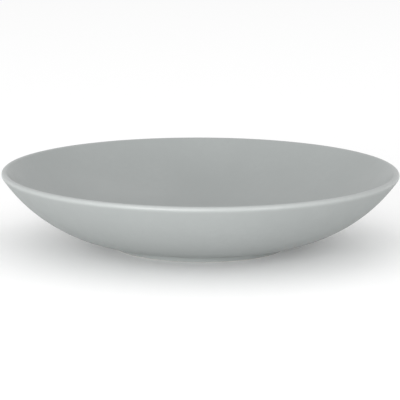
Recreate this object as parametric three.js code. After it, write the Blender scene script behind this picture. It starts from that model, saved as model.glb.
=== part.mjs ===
// Deep coupe plate in glazed ceramic: a fired clay body with a foot ring, a glaze coat that runs from the
// foot up the outside, over the lip and across the well, and the same glaze inside the foot ring. The ring
// that the plate stands on is bare clay.
// Millimetres, +Z up, origin in the standing plane, on the axis of the plate.
import * as THREE from "three";

// Driving dimensions, measured over the glaze unless they say otherwise
const RIM_DIAMETER = 260;
const HEIGHT = 50;
const LIP_THICKNESS = 4.1;
const WELL_DIAMETER = 86; // flat part of the floor, inside
const FLOOR_THICKNESS = 5.0;
const WALL_START_ANGLE = 6.5; // degrees above level, where the outer wall leaves the foot
const FOOT_DIAMETER = 114.6; // where the outer wall and the foot's outer face meet
const FOOT_HEIGHT = 3.5;
const FOOT_RING_WIDTH = 5.5; // bare clay, across its two faces in the standing plane
const FOOT_DRAFT_ANGLE = 10; // degrees from upright, by which both faces of the foot ring lean apart
const RECESS_DEPTH = 3.0; // from the standing plane up to the underside
const BARE_FOOT_HEIGHT = 0.2; // from the standing plane up to the edge of the glaze
const GLAZE_THICKNESS = 0.35;
const GLAZE_CLEARANCE = 0.05; // a hair between glaze and clay, so that rounding never makes them overlap

// Fillets and rounded edges
const CREASE_FILLET = 1.2; // outside, between the foot and the wall
const RECESS_FILLET = 1.2; // underneath, between the foot and the underside
const STANDING_EDGE_RADIUS = 0.2; // bare clay

// Facets
const SIDES = 60;
const WALL_STEPS = 8;
const LIP_STEPS = 3; // in each of the three stretches of the lip
const FILLET_STEPS = 3;

const GLAZE_FINISH = { color: 0x989c9b, roughness: 0.4, metalness: 0 };
const CLAY_FINISH = { color: 0xc2beb6, roughness: 0.9, metalness: 0 };

// The half section lies in a plane of radius (x) and height (y). An inset moves a surface of it into the
// material: zero is the outside of the glaze, and further in come the back of the glaze and the clay.
const at = (radius, height) => new THREE.Vector2(radius, height);
const towards = (angle) => at(Math.cos(angle), Math.sin(angle));
const angleFrom = (centre, target) => Math.atan2(target.y - centre.y, target.x - centre.x);

const QUARTER_TURN = Math.PI / 2;
const draft = THREE.MathUtils.degToRad(FOOT_DRAFT_ANGLE);
const wallStart = THREE.MathUtils.degToRad(WALL_START_ANGLE);
const clayInset = GLAZE_THICKNESS + GLAZE_CLEARANCE;
const floorHeight = RECESS_DEPTH + FLOOR_THICKNESS;
const lipRadius = LIP_THICKNESS / 2;
const lipCentre = at(RIM_DIAMETER / 2 - lipRadius, HEIGHT - lipRadius);
const footTop = at(FOOT_DIAMETER / 2, FOOT_HEIGHT);

// A round stretch of the section. Hollow ones have their centre in the open air, so an inset widens them.
function arcPoints({ centre, radius, from, to, steps, hollow }, inset) {
  const reach = hollow ? radius + inset : radius - inset;
  return Array.from({ length: steps + 1 }, (_, step) => {
    const angle = THREE.MathUtils.lerp(from, to, step / steps);
    return towards(angle).multiplyScalar(reach).add(centre);
  });
}

// Arcs that run on into each other share the point where they touch, which is kept once.
function chain(arcs, inset) {
  const points = arcs.flatMap((arc) => arcPoints(arc, inset).slice(0, -1));
  return [...points, arcPoints(arcs.at(-1), inset).at(-1)];
}

// The outer wall is one arc. It leaves the top of the foot at the start angle and runs on into the lip.
const wallNormal = towards(wallStart + QUARTER_TURN);
const lipToFoot = footTop.clone().sub(lipCentre);
const outerRadius = (lipRadius ** 2 - lipToFoot.lengthSq()) / (2 * (lipToFoot.dot(wallNormal) + lipRadius));
const outerCentre = footTop.clone().addScaledVector(wallNormal, outerRadius);

// The inner wall is one arc too. It leaves the flat of the well level and runs on into the lip.
const wellEdge = at(WELL_DIAMETER / 2, floorHeight);
const wellToLip = lipCentre.clone().sub(wellEdge);
const innerRadius = (wellToLip.lengthSq() - lipRadius ** 2) / (2 * (wellToLip.y + lipRadius));
const innerCentre = at(wellEdge.x, wellEdge.y + innerRadius);

// A face of the foot ring: where it meets the standing plane, the way up it and the way out of the clay.
const footGlazeWidth = 2 * clayInset / Math.cos(draft);
const outerFace = {
  radius: footTop.x - footTop.y * Math.tan(draft),
  up: towards(QUARTER_TURN - draft),
  out: towards(-draft),
};
const innerFace = {
  radius: outerFace.radius - FOOT_RING_WIDTH - footGlazeWidth,
  up: towards(QUARTER_TURN + draft),
  out: towards(Math.PI + draft),
};

// The point at a height on a face of the foot ring, moved into the material by an inset.
function onFace({ radius, up, out }, height, inset) {
  const along = (height + inset * out.y) / up.y;
  return at(radius, 0).addScaledVector(up, along).addScaledVector(out, -inset);
}

// The crease fillet touches the outer face of the foot and the outer wall.
function creaseArc() {
  const start = footTop.clone().addScaledVector(outerFace.out, CREASE_FILLET).sub(outerCentre);
  const along = start.dot(outerFace.up);
  const reach = outerRadius + CREASE_FILLET;
  const slide = -along - Math.sqrt(along ** 2 - start.lengthSq() + reach ** 2);
  const centre = start.addScaledVector(outerFace.up, slide).add(outerCentre);
  const from = Math.PI - draft;
  const to = angleFrom(centre, outerCentre);
  return { centre, radius: CREASE_FILLET, from, to, steps: FILLET_STEPS, hollow: true };
}

// The recess fillet touches the inner face of the foot and the underside.
function recessArc() {
  const centre = onFace(innerFace, RECESS_DEPTH - RECESS_FILLET, -RECESS_FILLET);
  const from = draft;
  const to = QUARTER_TURN;
  return { centre, radius: RECESS_FILLET, from, to, steps: FILLET_STEPS, hollow: true };
}

// A bare edge of the foot ring touches a clay face and the standing plane.
function standingArc(face, from, to) {
  const centre = onFace(face, STANDING_EDGE_RADIUS, clayInset + STANDING_EDGE_RADIUS);
  return { centre, radius: STANDING_EDGE_RADIUS, from, to, steps: FILLET_STEPS, hollow: false };
}

const crease = creaseArc();
const recess = recessArc();
const outerWall = {
  centre: outerCentre,
  radius: outerRadius,
  from: angleFrom(outerCentre, crease.centre),
  to: angleFrom(outerCentre, lipCentre),
  steps: WALL_STEPS,
  hollow: false,
};
const innerWall = {
  centre: innerCentre,
  radius: innerRadius,
  from: angleFrom(innerCentre, lipCentre),
  to: -QUARTER_TURN,
  steps: WALL_STEPS,
  hollow: true,
};

// The lip is parted at its widest and its highest point, so that both are corners of the section.
const lipTurns = [outerWall.to, 0, QUARTER_TURN, angleFrom(lipCentre, innerCentre)];
const lip = lipTurns.slice(1).map((to, index) => {
  const from = lipTurns[index];
  return { centre: lipCentre, radius: lipRadius, from, to, steps: LIP_STEPS, hollow: false };
});

// From the bare foot up the outside, over the lip, down the inside and across the well to the axis
function mainSurface(inset) {
  const edge = onFace(outerFace, BARE_FOOT_HEIGHT, inset);
  return [edge, ...chain([crease, outerWall, ...lip, innerWall], inset), at(0, floorHeight - inset)];
}

// From the axis across the underside and down to the bare foot
function underSurface(inset) {
  const edge = onFace(innerFace, BARE_FOOT_HEIGHT, inset);
  return [edge, ...chain([recess], inset), at(0, RECESS_DEPTH + inset)].reverse();
}

function standingRing() {
  const innerEdge = standingArc(innerFace, Math.PI + draft, 3 * QUARTER_TURN);
  const outerEdge = standingArc(outerFace, -QUARTER_TURN, -draft);
  return [...arcPoints(innerEdge, 0), ...arcPoints(outerEdge, 0)];
}

// Each piece is its half section turned about the axis of the plate.
function turned(name, section, finish) {
  const geometry = new THREE.LatheGeometry(section, SIDES).rotateX(QUARTER_TURN);
  const mesh = new THREE.Mesh(geometry, new THREE.MeshStandardMaterial(finish));
  mesh.name = name;
  return mesh;
}

const bodySection = [...underSurface(clayInset), ...standingRing(), ...mainSurface(clayInset)];
const coatSection = [...mainSurface(GLAZE_THICKNESS).reverse(), ...mainSurface(0)];
const baseSection = [...underSurface(0), ...underSurface(GLAZE_THICKNESS).reverse()];

const plate = new THREE.Group();
plate.name = "deep_plate";
plate.add(turned("ceramic_body", bodySection, CLAY_FINISH));
plate.add(turned("glaze_coat", coatSection, GLAZE_FINISH));
plate.add(turned("base_glaze", baseSection, GLAZE_FINISH));

export default plate;
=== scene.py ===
"""The looks of a deep coupe plate in satin grey glaze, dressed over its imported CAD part.

Metres, +Z up. The plate stands on z = 0 and is round about the Z axis, as the CAD part is.
"""

import math
from collections import namedtuple

import bpy
from mathutils import Matrix, Vector, noise


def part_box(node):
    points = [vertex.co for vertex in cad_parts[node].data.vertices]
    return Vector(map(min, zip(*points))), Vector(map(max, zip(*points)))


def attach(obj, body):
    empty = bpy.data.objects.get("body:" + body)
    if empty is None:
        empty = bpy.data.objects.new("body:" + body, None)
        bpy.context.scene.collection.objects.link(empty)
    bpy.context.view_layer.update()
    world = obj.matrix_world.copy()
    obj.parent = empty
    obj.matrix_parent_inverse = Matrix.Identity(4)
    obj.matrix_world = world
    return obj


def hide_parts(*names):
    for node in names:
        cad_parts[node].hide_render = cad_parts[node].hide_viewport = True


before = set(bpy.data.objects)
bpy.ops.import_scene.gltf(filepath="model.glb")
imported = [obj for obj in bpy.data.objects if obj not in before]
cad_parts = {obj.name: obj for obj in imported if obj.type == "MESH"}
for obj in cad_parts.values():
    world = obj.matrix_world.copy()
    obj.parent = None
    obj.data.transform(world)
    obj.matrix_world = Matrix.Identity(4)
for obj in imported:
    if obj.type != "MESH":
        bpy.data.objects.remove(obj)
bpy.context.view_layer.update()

MM = 0.001
QUARTER_TURN = math.pi / 2
FULL_TURN = 2 * math.pi

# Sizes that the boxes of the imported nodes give
coat_low, coat_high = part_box("glaze_coat")
_, body_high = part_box("ceramic_body")
_, base_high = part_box("base_glaze")
RIM_RADIUS = coat_high.x
HEIGHT = coat_high.z
BARE_FOOT_HEIGHT = coat_low.z
CLAY_INSET = coat_high.z - body_high.z

# Sizes of the section that the boxes alone don't give, as the CAD part has them
GLAZE_THICKNESS = 0.35 * MM
LIP_RADIUS = 2.05 * MM
WELL_RADIUS = 43.0 * MM
FLOOR_HEIGHT = 8.0 * MM
WALL_START = math.radians(6.5)
FOOT_TOP = Vector((57.3, 3.5)) * MM
FOOT_RING_WIDTH = 5.5 * MM
FOOT_DRAFT = math.radians(10)
CREASE_FILLET = 1.2 * MM
RECESS_FILLET = 1.2 * MM
STANDING_EDGE_RADIUS = 0.2 * MM
RECESS_DEPTH = base_high.z - GLAZE_THICKNESS

# How finely each stretch of a section is cut, where it shows and where it lies hidden between glaze and clay
Cut = namedtuple("Cut", "face fillet wall lip flat")
SHOWN = Cut(face=16, fillet=12, wall=72, lip=36, flat=60)
SHOWN_UNDER = SHOWN._replace(flat=108)
HIDDEN = Cut(face=4, fillet=4, wall=20, lip=10, flat=8)
EDGE_STEPS = 12
RING_STEPS = 8
SIDES = 280
ON_AXIS = 0.001 * MM

# What forming and firing leave: a rolled edge on the glaze, a wavering glaze line, turning marks underneath,
# a rim that isn't quite level and a skin that isn't quite even
BEAD_RISE = 0.04 * MM
BEAD_ROUND = 0.35 * MM
BEAD_LENGTH = 0.95 * MM
LINE_WAVER = 0.06 * MM
LINE_WAVER_REACH = 1.0 * MM
LINE_WAVES = 3.5
TURNING_MARK = 0.012 * MM
TURNING_PITCH = 2.6 * MM
RIM_WARP = 0.1 * MM
RIM_LOBES = 2
RIM_WARP_TURN = 0.7
SKIN_SWELL = 0.035 * MM
SKIN_SWELL_SIZE = 24 * MM
SKIN_RIPPLE = 0.007 * MM
SKIN_RIPPLE_SIZE = 6 * MM

# Where the glaze runs thinnest on the round of the lip, where a painted highlight is also centred, how far
# that shows, and how far up from the foot the painted light from below reaches. The coat's vertices carry how
# near they lie to both, under these labels.
THIN_AND_HIGHLIGHT_ANGLE = math.radians(25)
LIP_FADE = 1.8 * MM
LIGHT_FROM_BELOW_FADE = 30 * MM
NEAR_LIP = "lip"
NEAR_FOOT = "foot"


def towards(angle):
    """A step of length 1 at an angle from the way out of the axis."""
    return Vector((math.cos(angle), math.sin(angle)))


def angle_from(centre, target):
    """The angle at which a target lies from a centre."""
    return math.atan2(target.y - centre.y, target.x - centre.x)


def eased(share):
    """Goes smoothly from 0 to 1 as the share does, and stays level beyond both ends."""
    share = min(1.0, max(0.0, share))
    return share * share * (3 - 2 * share)


# The half section lies in a plane of radius (x) and height (y). An inset moves a surface into the material:
# zero is the outside of the glaze, and further in come the back of the glaze and the clay.
# The outer wall is the arc that leaves the foot at its given slope and touches the round of the lip.
# The inner wall is the arc that leaves the flat of the well and touches the round from the other side.
lip_centre = Vector((RIM_RADIUS - LIP_RADIUS, HEIGHT - LIP_RADIUS))
wall_normal = towards(WALL_START + QUARTER_TURN)
lip_to_foot = FOOT_TOP - lip_centre
outer_radius = (LIP_RADIUS**2 - lip_to_foot.length_squared) / (2 * (lip_to_foot @ wall_normal + LIP_RADIUS))
outer_centre = FOOT_TOP + wall_normal * outer_radius
well_edge = Vector((WELL_RADIUS, FLOOR_HEIGHT))
well_to_lip = lip_centre - well_edge
inner_radius = (well_to_lip.length_squared - LIP_RADIUS**2) / (2 * (well_to_lip.y + LIP_RADIUS))
inner_centre = well_edge + Vector((0, inner_radius))


class FootFace:
    """A face of the foot ring, with the way up it and the way out of the clay."""

    def __init__(self, radius, lean):
        self.base = Vector((radius, 0))
        self.up = towards(QUARTER_TURN - lean)
        self.out = Vector((self.up.y, -self.up.x)) * math.copysign(1, lean)

    def at(self, height, inset):
        """The point at a height on the face, or at an inset behind it."""
        along = (height + inset * self.out.y) / self.up.y
        return self.base + self.up * along - self.out * inset


foot_glaze_width = 2 * CLAY_INSET / math.cos(FOOT_DRAFT)
outer_face = FootFace(FOOT_TOP.x - FOOT_TOP.y * math.tan(FOOT_DRAFT), FOOT_DRAFT)
inner_face = FootFace(outer_face.base.x - FOOT_RING_WIDTH - foot_glaze_width, -FOOT_DRAFT)


def crease_centre():
    """The centre of the fillet that touches the outer face of the foot and the outer wall."""
    start = FOOT_TOP + outer_face.out * CREASE_FILLET - outer_centre
    along = start @ outer_face.up
    reach = outer_radius + CREASE_FILLET
    slide = -along - math.sqrt(along**2 - start.length_squared + reach**2)
    return outer_centre + start + outer_face.up * slide


crease = crease_centre()
recess = inner_face.at(RECESS_DEPTH - RECESS_FILLET, -RECESS_FILLET)


def arc(centre, radius, start, end, steps):
    """The points of an arc after its first."""
    return [centre + towards(start + (end - start) * step / steps) * radius for step in range(1, steps + 1)]


def line(start, end, steps):
    """The points of a straight line after its first."""
    return [start.lerp(end, step / steps) for step in range(1, steps + 1)]


def bead_inset(distance):
    """The inset of the glaze's outside near its edge, where it rolls over from a low bead to the clay."""
    rolled = 1 - min(1.0, distance / BEAD_ROUND)
    fall = eased((distance - BEAD_ROUND) / (BEAD_LENGTH - BEAD_ROUND))
    rise = BEAD_RISE * eased(distance / BEAD_ROUND) * (1 - fall)
    return GLAZE_THICKNESS * (1 - math.sqrt(1 - rolled**2)) - rise


def face_points(face, end, inset, steps):
    """Up a face of the foot, from the glaze line to the start of the fillet, finest by the glaze line.

    The outside of the glaze, which has no inset, starts with its rolled edge.
    """
    points = []
    length = (end.y - BARE_FOOT_HEIGHT) / face.up.y
    for step in range(steps):
        distance = length * (step / steps) ** 2
        height = BARE_FOOT_HEIGHT + distance * face.up.y
        points.append(face.at(height, inset if inset else bead_inset(distance)))
    return [*points, end]


def main_surface(inset, cut):
    """From the glaze line up the outside, over the lip, down the inside and across the well to the axis."""
    foot_angle = math.pi - FOOT_DRAFT
    lip_from = angle_from(outer_centre, lip_centre)
    lip_to = angle_from(lip_centre, inner_centre)
    fillet = CREASE_FILLET + inset
    points = face_points(outer_face, crease + towards(foot_angle) * fillet, inset, cut.face)
    points += arc(crease, fillet, foot_angle, angle_from(crease, outer_centre), cut.fillet)
    points += arc(outer_centre, outer_radius - inset, angle_from(outer_centre, crease), lip_from, cut.wall)
    points += arc(lip_centre, LIP_RADIUS - inset, lip_from, lip_to, cut.lip)
    points += arc(inner_centre, inner_radius + inset, lip_to - math.pi, -QUARTER_TURN, cut.wall)
    return points + line(points[-1], Vector((0, points[-1].y)), cut.flat)


def under_surface(inset, cut):
    """From the glaze line up the inner face of the foot and across the underside to the axis."""
    fillet = RECESS_FILLET + inset
    points = face_points(inner_face, recess + towards(FOOT_DRAFT) * fillet, inset, cut.face)
    points += arc(recess, fillet, FOOT_DRAFT, QUARTER_TURN, cut.fillet)
    return points + line(points[-1], Vector((0, points[-1].y)), cut.flat)


def standing_ring():
    """The bare foot, from its inner face round the standing ring to its outer face."""
    inset = CLAY_INSET + STANDING_EDGE_RADIUS
    inner = inner_face.at(STANDING_EDGE_RADIUS, inset)
    outer = outer_face.at(STANDING_EDGE_RADIUS, inset)
    points = arc(inner, STANDING_EDGE_RADIUS, math.pi + FOOT_DRAFT, 3 * QUARTER_TURN, EDGE_STEPS)
    points += line(points[-1], Vector((outer.x, 0)), RING_STEPS)
    return points + arc(outer, STANDING_EDGE_RADIUS, -QUARTER_TURN, -FOOT_DRAFT, EDGE_STEPS)


# A point of a section, whether it shows the glaze's uneven skin, and how far it moves with the glaze line
Station = namedtuple("Station", "place skinned slide")


def clay_stations(points):
    return [Station(place, False, Vector((0, 0))) for place in points]


def glaze_stations(points, face, skinned):
    """The points of one side of the glaze. Those by the glaze line slide up and down the foot with it."""
    stations = []
    for place in points:
        near_line = 1 - eased((place.y - BARE_FOOT_HEIGHT) / LINE_WAVER_REACH)
        stations.append(Station(place, skinned, face.up * near_line))
    return stations


def skin_offset(point):
    """How far the glaze stands out of its even surface at a point."""
    swell = SKIN_SWELL * noise.noise(point / SKIN_SWELL_SIZE)
    return swell + SKIN_RIPPLE * noise.noise(point / SKIN_RIPPLE_SIZE)


def line_offset(angle):
    """How far up the foot the glaze line lies at an angle round the plate."""
    return LINE_WAVER * noise.noise(Vector((*towards(angle), 0)) * LINE_WAVES)


def rim_lift(height, angle):
    """How far the fired plate has warped upwards at a height and an angle. The foot stays flat."""
    share = max(0.0, height / HEIGHT)
    return RIM_WARP * share**2 * math.sin(RIM_LOBES * angle + RIM_WARP_TURN)


def turned(name, stations):
    """A closed mesh: a section turned about Z.

    The section starts and ends on the axis, with its material on the left.
    """
    vertices = []
    rings = []
    befores = [stations[0], *stations]
    afters = [*stations[1:], stations[-1]]
    for before, station, after in zip(befores, stations, afters):
        way = (after.place - before.place).normalized()
        out = Vector((way.y, -way.x))
        start = len(vertices)
        on_axis = station.place.x < ON_AXIS
        rings.append([start] * SIDES if on_axis else range(start, start + SIDES))
        for side in range(1 if on_axis else SIDES):
            angle = FULL_TURN * side / SIDES
            spin = Matrix.Rotation(angle, 3, "Z")
            place = station.place + station.slide * line_offset(angle)
            if station.skinned:
                place += out * skin_offset(spin @ Vector((place.x, 0, place.y)))
            vertices.append(spin @ Vector((place.x, 0, place.y + rim_lift(place.y, angle))))
    # A face that ends on the axis has two corners there that are one, and becomes a triangle
    faces = []
    for lower, upper in zip(rings, rings[1:]):
        for side in range(SIDES):
            following = (side + 1) % SIDES
            corners = (lower[side], lower[following], upper[following], upper[side])
            faces.append(tuple(dict.fromkeys(corners)))
    mesh = bpy.data.meshes.new(name)
    mesh.from_pydata(vertices, [], faces)
    mesh.shade_smooth()
    piece = bpy.data.objects.new(name, mesh)
    bpy.context.scene.collection.objects.link(piece)
    return piece


def mark_nearness(piece, label, spot, fade):
    """Gives each vertex how near it lies to a spot of the section, from 1 on it to 0 well away."""
    values = []
    for vertex in piece.data.vertices:
        place = Vector((vertex.co.xy.length, vertex.co.z))
        values.append(math.exp(-(((place - spot).length / fade) ** 2)))
    piece.data.attributes.new(label, "FLOAT", "POINT").data.foreach_set("value", values)


# Both sides of a coat of glaze start with the same point, on the glaze line, so one of the two is left out
def make_coat():
    outside = glaze_stations(main_surface(0, SHOWN), outer_face, True)
    back = glaze_stations(main_surface(GLAZE_THICKNESS, HIDDEN), outer_face, False)
    coat = turned("satin_coat", back[::-1] + outside[1:])
    # The lip mark carries the thinning glaze and a painted highlight; the foot mark carries painted light
    # from below
    mark_nearness(coat, NEAR_LIP, lip_centre + towards(THIN_AND_HIGHLIGHT_ANGLE) * LIP_RADIUS, LIP_FADE)
    mark_nearness(coat, NEAR_FOOT, FOOT_TOP, LIGHT_FROM_BELOW_FADE)
    return coat


def make_base():
    points = under_surface(0, SHOWN_UNDER)
    for place in points[-SHOWN_UNDER.flat:]:
        place.y += TURNING_MARK * math.cos(FULL_TURN * place.x / TURNING_PITCH)
    outside = glaze_stations(points, inner_face, True)
    back = glaze_stations(under_surface(GLAZE_THICKNESS, HIDDEN), inner_face, False)
    return turned("satin_base", outside[:0:-1] + back)


def make_body():
    points = under_surface(CLAY_INSET, HIDDEN)[::-1] + standing_ring() + main_surface(CLAY_INSET, HIDDEN)
    return turned("clay_body", clay_stations(points))


# Materials. The colour sockets of a Mix node go by number, because its other sockets share their names.
MIX_A = 6
MIX_B = 7
MIX_OUT = 2


def add(tree, kind, inputs, **settings):
    """A node with its settings, whose inputs are numbers, colours or the outputs of other nodes."""
    node = tree.nodes.new(kind)
    for name, value in settings.items():
        setattr(node, name, value)
    for name, value in inputs.items():
        if isinstance(value, bpy.types.NodeSocket):
            tree.links.new(value, node.inputs[name])
        else:
            node.inputs[name].default_value = value
    return node


def new_material(name):
    made = bpy.data.materials.new(name)
    made.use_nodes = True
    tree = made.node_tree
    tree.nodes.clear()
    shader = tree.nodes.new("ShaderNodeBsdfPrincipled")
    add(tree, "ShaderNodeOutputMaterial", {"Surface": shader.outputs["BSDF"]})
    return made, tree, shader


def grain_noise(tree, size, detail):
    """Noise of one grain size, from 0 to 1, fixed to the plate."""
    place = tree.nodes.new("ShaderNodeTexCoord").outputs["Object"]
    inputs = {"Vector": place, "Scale": 1 / size, "Detail": detail}
    return add(tree, "ShaderNodeTexNoise", inputs).outputs["Fac"]


def spread(tree, value, low, high, to_low, to_high):
    """The value's stretch from low to high, spread over another and clamped to it."""
    inputs = {"Value": value, "From Min": low, "From Max": high, "To Min": to_low, "To Max": to_high}
    return add(tree, "ShaderNodeMapRange", inputs).outputs["Result"]


def grained(tree, grain):
    """The noise of a grain, spread between its least and its most."""
    value = grain_noise(tree, grain.size, grain.detail)
    return spread(tree, value, grain.low, grain.high, grain.least, grain.most)


def marked(tree, label):
    """The nearness that the vertices carry under a label. It is 0 on a piece without the label."""
    return add(tree, "ShaderNodeAttribute", {}, attribute_name=label).outputs["Fac"]


def mixed(tree, share, first, second):
    """A colour that goes from the first to the second with the share."""
    node = add(tree, "ShaderNodeMix", {0: share, MIX_A: first, MIX_B: second}, data_type="RGBA")
    return node.outputs[MIX_OUT]


def times(tree, first, second):
    return add(tree, "ShaderNodeMath", {0: first, 1: second}, operation="MULTIPLY").outputs["Value"]


def plus(tree, first, second):
    return add(tree, "ShaderNodeMath", {0: first, 1: second}, operation="ADD").outputs["Value"]


def slope(tree):
    """How far a surface of the plate faces up, from -1 straight down to 1 straight up."""
    normal = tree.nodes.new("ShaderNodeTexCoord").outputs["Normal"]
    return add(tree, "ShaderNodeSeparateXYZ", {"Vector": normal}).outputs["Z"]


def bumped(tree, *reliefs):
    """A normal that carries one relief or several."""
    normal = None
    for relief in reliefs:
        inputs = {"Height": grain_noise(tree, relief.size, relief.detail), "Distance": relief.depth}
        if normal:
            inputs["Normal"] = normal
        normal = add(tree, "ShaderNodeBump", inputs).outputs["Normal"]
    return normal


# A grain: the size and detail of its noise, the stretch of the noise that is used, and what it is spread over
Grain = namedtuple("Grain", "size detail low high least most")
GLAZE_CLOUDS = Grain(size=38 * MM, detail=2, low=0.3, high=0.7, least=0, most=1)
GLAZE_MOTTLE = Grain(size=3.5 * MM, detail=4, low=0.35, high=0.65, least=0, most=0.6)
GLAZE_FLECKS = Grain(size=0.9 * MM, detail=2, low=0.69, high=0.74, least=0, most=0.5)
GLAZE_BREAKS = Grain(size=5 * MM, detail=3, low=0.2, high=0.8, least=0.75, most=1)
GLAZE_ROUGHNESS = Grain(size=12 * MM, detail=3, low=0.3, high=0.7, least=0.3, most=0.37)
CLAY_CLOUDS = Grain(size=6 * MM, detail=4, low=0.35, high=0.65, least=0, most=1)
CLAY_SPECKS = Grain(size=0.8 * MM, detail=2, low=0.66, high=0.72, least=0, most=0.7)
CLAY_ROUGHNESS = Grain(size=1.5 * MM, detail=2, low=0.3, high=0.7, least=0.82, most=0.95)

# A relief that is too fine for the mesh: the size and detail of its noise, and its depth
Relief = namedtuple("Relief", "size detail depth")
GLAZE_PEEL = Relief(size=2.4 * MM, detail=2, depth=0.012 * MM)
GLAZE_TOOTH = Relief(size=0.35 * MM, detail=2, depth=0.006 * MM)
CLAY_SAND = Relief(size=0.5 * MM, detail=3, depth=0.05 * MM)

WHITE = (1, 1, 1, 1)
GLAZE_COLOUR = (0.305, 0.322, 0.318, 1)
GLAZE_PALE = (0.322, 0.339, 0.335, 1)
GLAZE_FLECK = (0.25, 0.264, 0.26, 1)
# Paler colour of the lip: partly glaze thinning over the round, partly a painted highlight
GLAZE_THIN_AND_HIGHLIT = (0.4, 0.418, 0.412, 1)
# Painted light from below: a paler colour on the downward-facing outside wall near the foot
GLAZE_LIT_FROM_BELOW = (0.338, 0.36, 0.354, 1)
CLAY_COLOUR = (0.5, 0.475, 0.425, 1)
CLAY_PALE = (0.58, 0.555, 0.505, 1)
CLAY_SPECK = (0.3, 0.27, 0.225, 1)

# The slopes between which the glaze changes from outside to inside, how much rougher the outside is, and how
# rough it is where the painted light from below lies
OUTSIDE_SLOPE = -0.25
INSIDE_SLOPE = 0.05
OUTSIDE_DRYNESS = 0.28
LOW_WALL_DRYNESS = 0.06


def satin_glaze():
    """A satin matt glaze, clouded, faintly flecked and drier outside: paler on the lip, where it thins and a
    painted highlight lies, and paler low on the outside by the foot, as painted light from below.
    """
    made, tree, shader = new_material("satin_glaze")
    outside = spread(tree, slope(tree), OUTSIDE_SLOPE, INSIDE_SLOPE, 1, 0)
    # Painted light from below: the downward-facing outside wall near the foot is made paler
    light_from_below = times(tree, marked(tree, NEAR_FOOT), outside)
    # The lip is paler where the glaze thins and breaks, and paler still as a painted highlight
    thin_and_highlight = times(tree, marked(tree, NEAR_LIP), grained(tree, GLAZE_BREAKS))
    colour = mixed(tree, grained(tree, GLAZE_CLOUDS), GLAZE_COLOUR, GLAZE_PALE)
    colour = mixed(tree, grained(tree, GLAZE_MOTTLE), colour, GLAZE_COLOUR)
    colour = mixed(tree, grained(tree, GLAZE_FLECKS), colour, GLAZE_FLECK)
    colour = mixed(tree, light_from_below, colour, GLAZE_LIT_FROM_BELOW)
    colour = mixed(tree, thin_and_highlight, colour, GLAZE_THIN_AND_HIGHLIT)
    dryness = times(tree, outside, spread(tree, light_from_below, 0, 1, OUTSIDE_DRYNESS, LOW_WALL_DRYNESS))
    roughness = plus(tree, grained(tree, GLAZE_ROUGHNESS), dryness)
    tree.links.new(colour, shader.inputs["Base Color"])
    tree.links.new(roughness, shader.inputs["Roughness"])
    tree.links.new(bumped(tree, GLAZE_PEEL, GLAZE_TOOTH), shader.inputs["Normal"])
    return made


def bare_clay():
    """Fired clay with no glaze: pale, dry and sandy, with a few dark specks."""
    made, tree, shader = new_material("bare_clay")
    colour = mixed(tree, grained(tree, CLAY_CLOUDS), CLAY_COLOUR, CLAY_PALE)
    colour = mixed(tree, grained(tree, CLAY_SPECKS), colour, CLAY_SPECK)
    tree.links.new(colour, shader.inputs["Base Color"])
    tree.links.new(grained(tree, CLAY_ROUGHNESS), shader.inputs["Roughness"])
    tree.links.new(bumped(tree, CLAY_SAND), shader.inputs["Normal"])
    return made


def dress(piece, material, node):
    piece.data.materials.append(material)
    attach(piece, "root")
    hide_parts(node)


glaze = satin_glaze()
dress(make_coat(), glaze, "glaze_coat")
dress(make_base(), glaze, "base_glaze")
dress(make_body(), bare_clay(), "ceramic_body")


# The studio: a white floor, a pale room and soft lights
FLOOR_SIDE = 16.0
FLOOR_COLOUR = (0.92, 0.92, 0.92, 1)
FLOOR_GLOW = 0.084
ROOM_STRENGTH = 0.905
LIGHT_DISTANCE = 1.5


def make_floor():
    half = FLOOR_SIDE / 2
    corners = [(-half, -half, 0), (half, -half, 0), (half, half, 0), (-half, half, 0)]
    mesh = bpy.data.meshes.new("floor")
    mesh.from_pydata(corners, [], [(0, 1, 2, 3)])
    made, _, shader = new_material("white_floor")
    shader.inputs["Base Color"].default_value = FLOOR_COLOUR
    shader.inputs["Roughness"].default_value = 1.0
    shader.inputs["Specular IOR Level"].default_value = 0.0
    shader.inputs["Emission Color"].default_value = WHITE
    shader.inputs["Emission Strength"].default_value = FLOOR_GLOW
    mesh.materials.append(made)
    floor = bpy.data.objects.new("floor", mesh)
    bpy.context.scene.collection.objects.link(floor)


def make_room():
    world = bpy.data.worlds.new("room")
    world.use_nodes = True
    background = world.node_tree.nodes["Background"]
    background.inputs["Color"].default_value = WHITE
    background.inputs["Strength"].default_value = ROOM_STRENGTH
    bpy.context.scene.world = world


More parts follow.
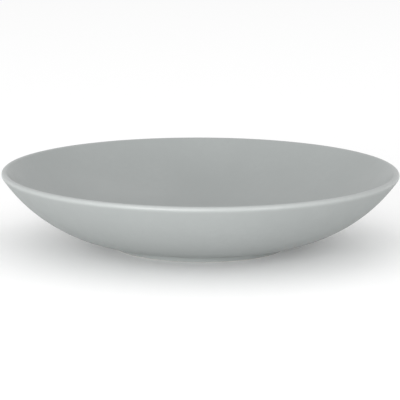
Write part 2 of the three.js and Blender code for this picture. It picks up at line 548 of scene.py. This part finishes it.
def make_light(name, azimuth, elevation, width, height, power):
    """A soft light that faces the plate. Azimuth 0 is the camera's side, and rises to its right."""
    light = bpy.data.lights.new(name, "AREA")
    light.shape = "RECTANGLE"
    light.size = width
    light.size_y = height
    light.energy = power
    lamp = bpy.data.objects.new(name, light)
    turn = math.radians(azimuth)
    rise = math.radians(elevation)
    back = Vector((math.sin(turn) * math.cos(rise), -math.cos(turn) * math.cos(rise), math.sin(rise)))
    lamp.location = back * LIGHT_DISTANCE
    lamp.rotation_euler = back.to_track_quat("Z", "Y").to_euler()
    lamp.visible_camera = False
    bpy.context.scene.collection.objects.link(lamp)


make_floor()
make_room()
make_light("front", azimuth=-14, elevation=10, width=1.0, height=0.45, power=10)
make_light("left", azimuth=-38, elevation=12, width=0.25, height=0.4, power=4.0)
make_light("right", azimuth=37, elevation=10, width=0.25, height=0.4, power=2.5)
make_light("rear_left", azimuth=-150, elevation=50, width=0.6, height=0.6, power=0.25)
make_light("rear_right", azimuth=150, elevation=50, width=0.6, height=0.6, power=0.72)

# The camera. A point of the plate's axis lies at a known pixel of the square picture, beside its middle.
PICTURE_PX = 400
CAMERA_ELEVATION = math.radians(10.89)
CAMERA_ROLL = math.radians(0.25)
CAMERA_DISTANCE = 2.0
PX_PER_METRE = 1525
AXIS_POINT = Vector((0, 0, 24 * MM))
AXIS_PIXEL = Vector((200.33, 208.92))
SENSOR_MM = 36


def make_camera():
    right = Vector((1, 0, 0))
    up = Vector((0, math.sin(CAMERA_ELEVATION), math.cos(CAMERA_ELEVATION)))
    place = AXIS_POINT + right.cross(up) * CAMERA_DISTANCE
    aside = (PICTURE_PX / 2 - AXIS_PIXEL.x) / PX_PER_METRE
    above = (AXIS_PIXEL.y - PICTURE_PX / 2) / PX_PER_METRE
    target = AXIS_POINT + right * aside + up * above
    turn = (place - target).to_track_quat("Z", "Y").to_matrix() @ Matrix.Rotation(CAMERA_ROLL, 3, "Z")
    data = bpy.data.cameras.new("camera")
    data.sensor_width = SENSOR_MM
    data.lens = SENSOR_MM * PX_PER_METRE * CAMERA_DISTANCE / PICTURE_PX
    camera = bpy.data.objects.new("camera", data)
    camera.matrix_world = Matrix.Translation(place) @ turn.to_4x4()
    bpy.context.scene.collection.objects.link(camera)
    bpy.context.scene.camera = camera


make_camera()
bpy.context.scene.view_settings.view_transform = "Standard"
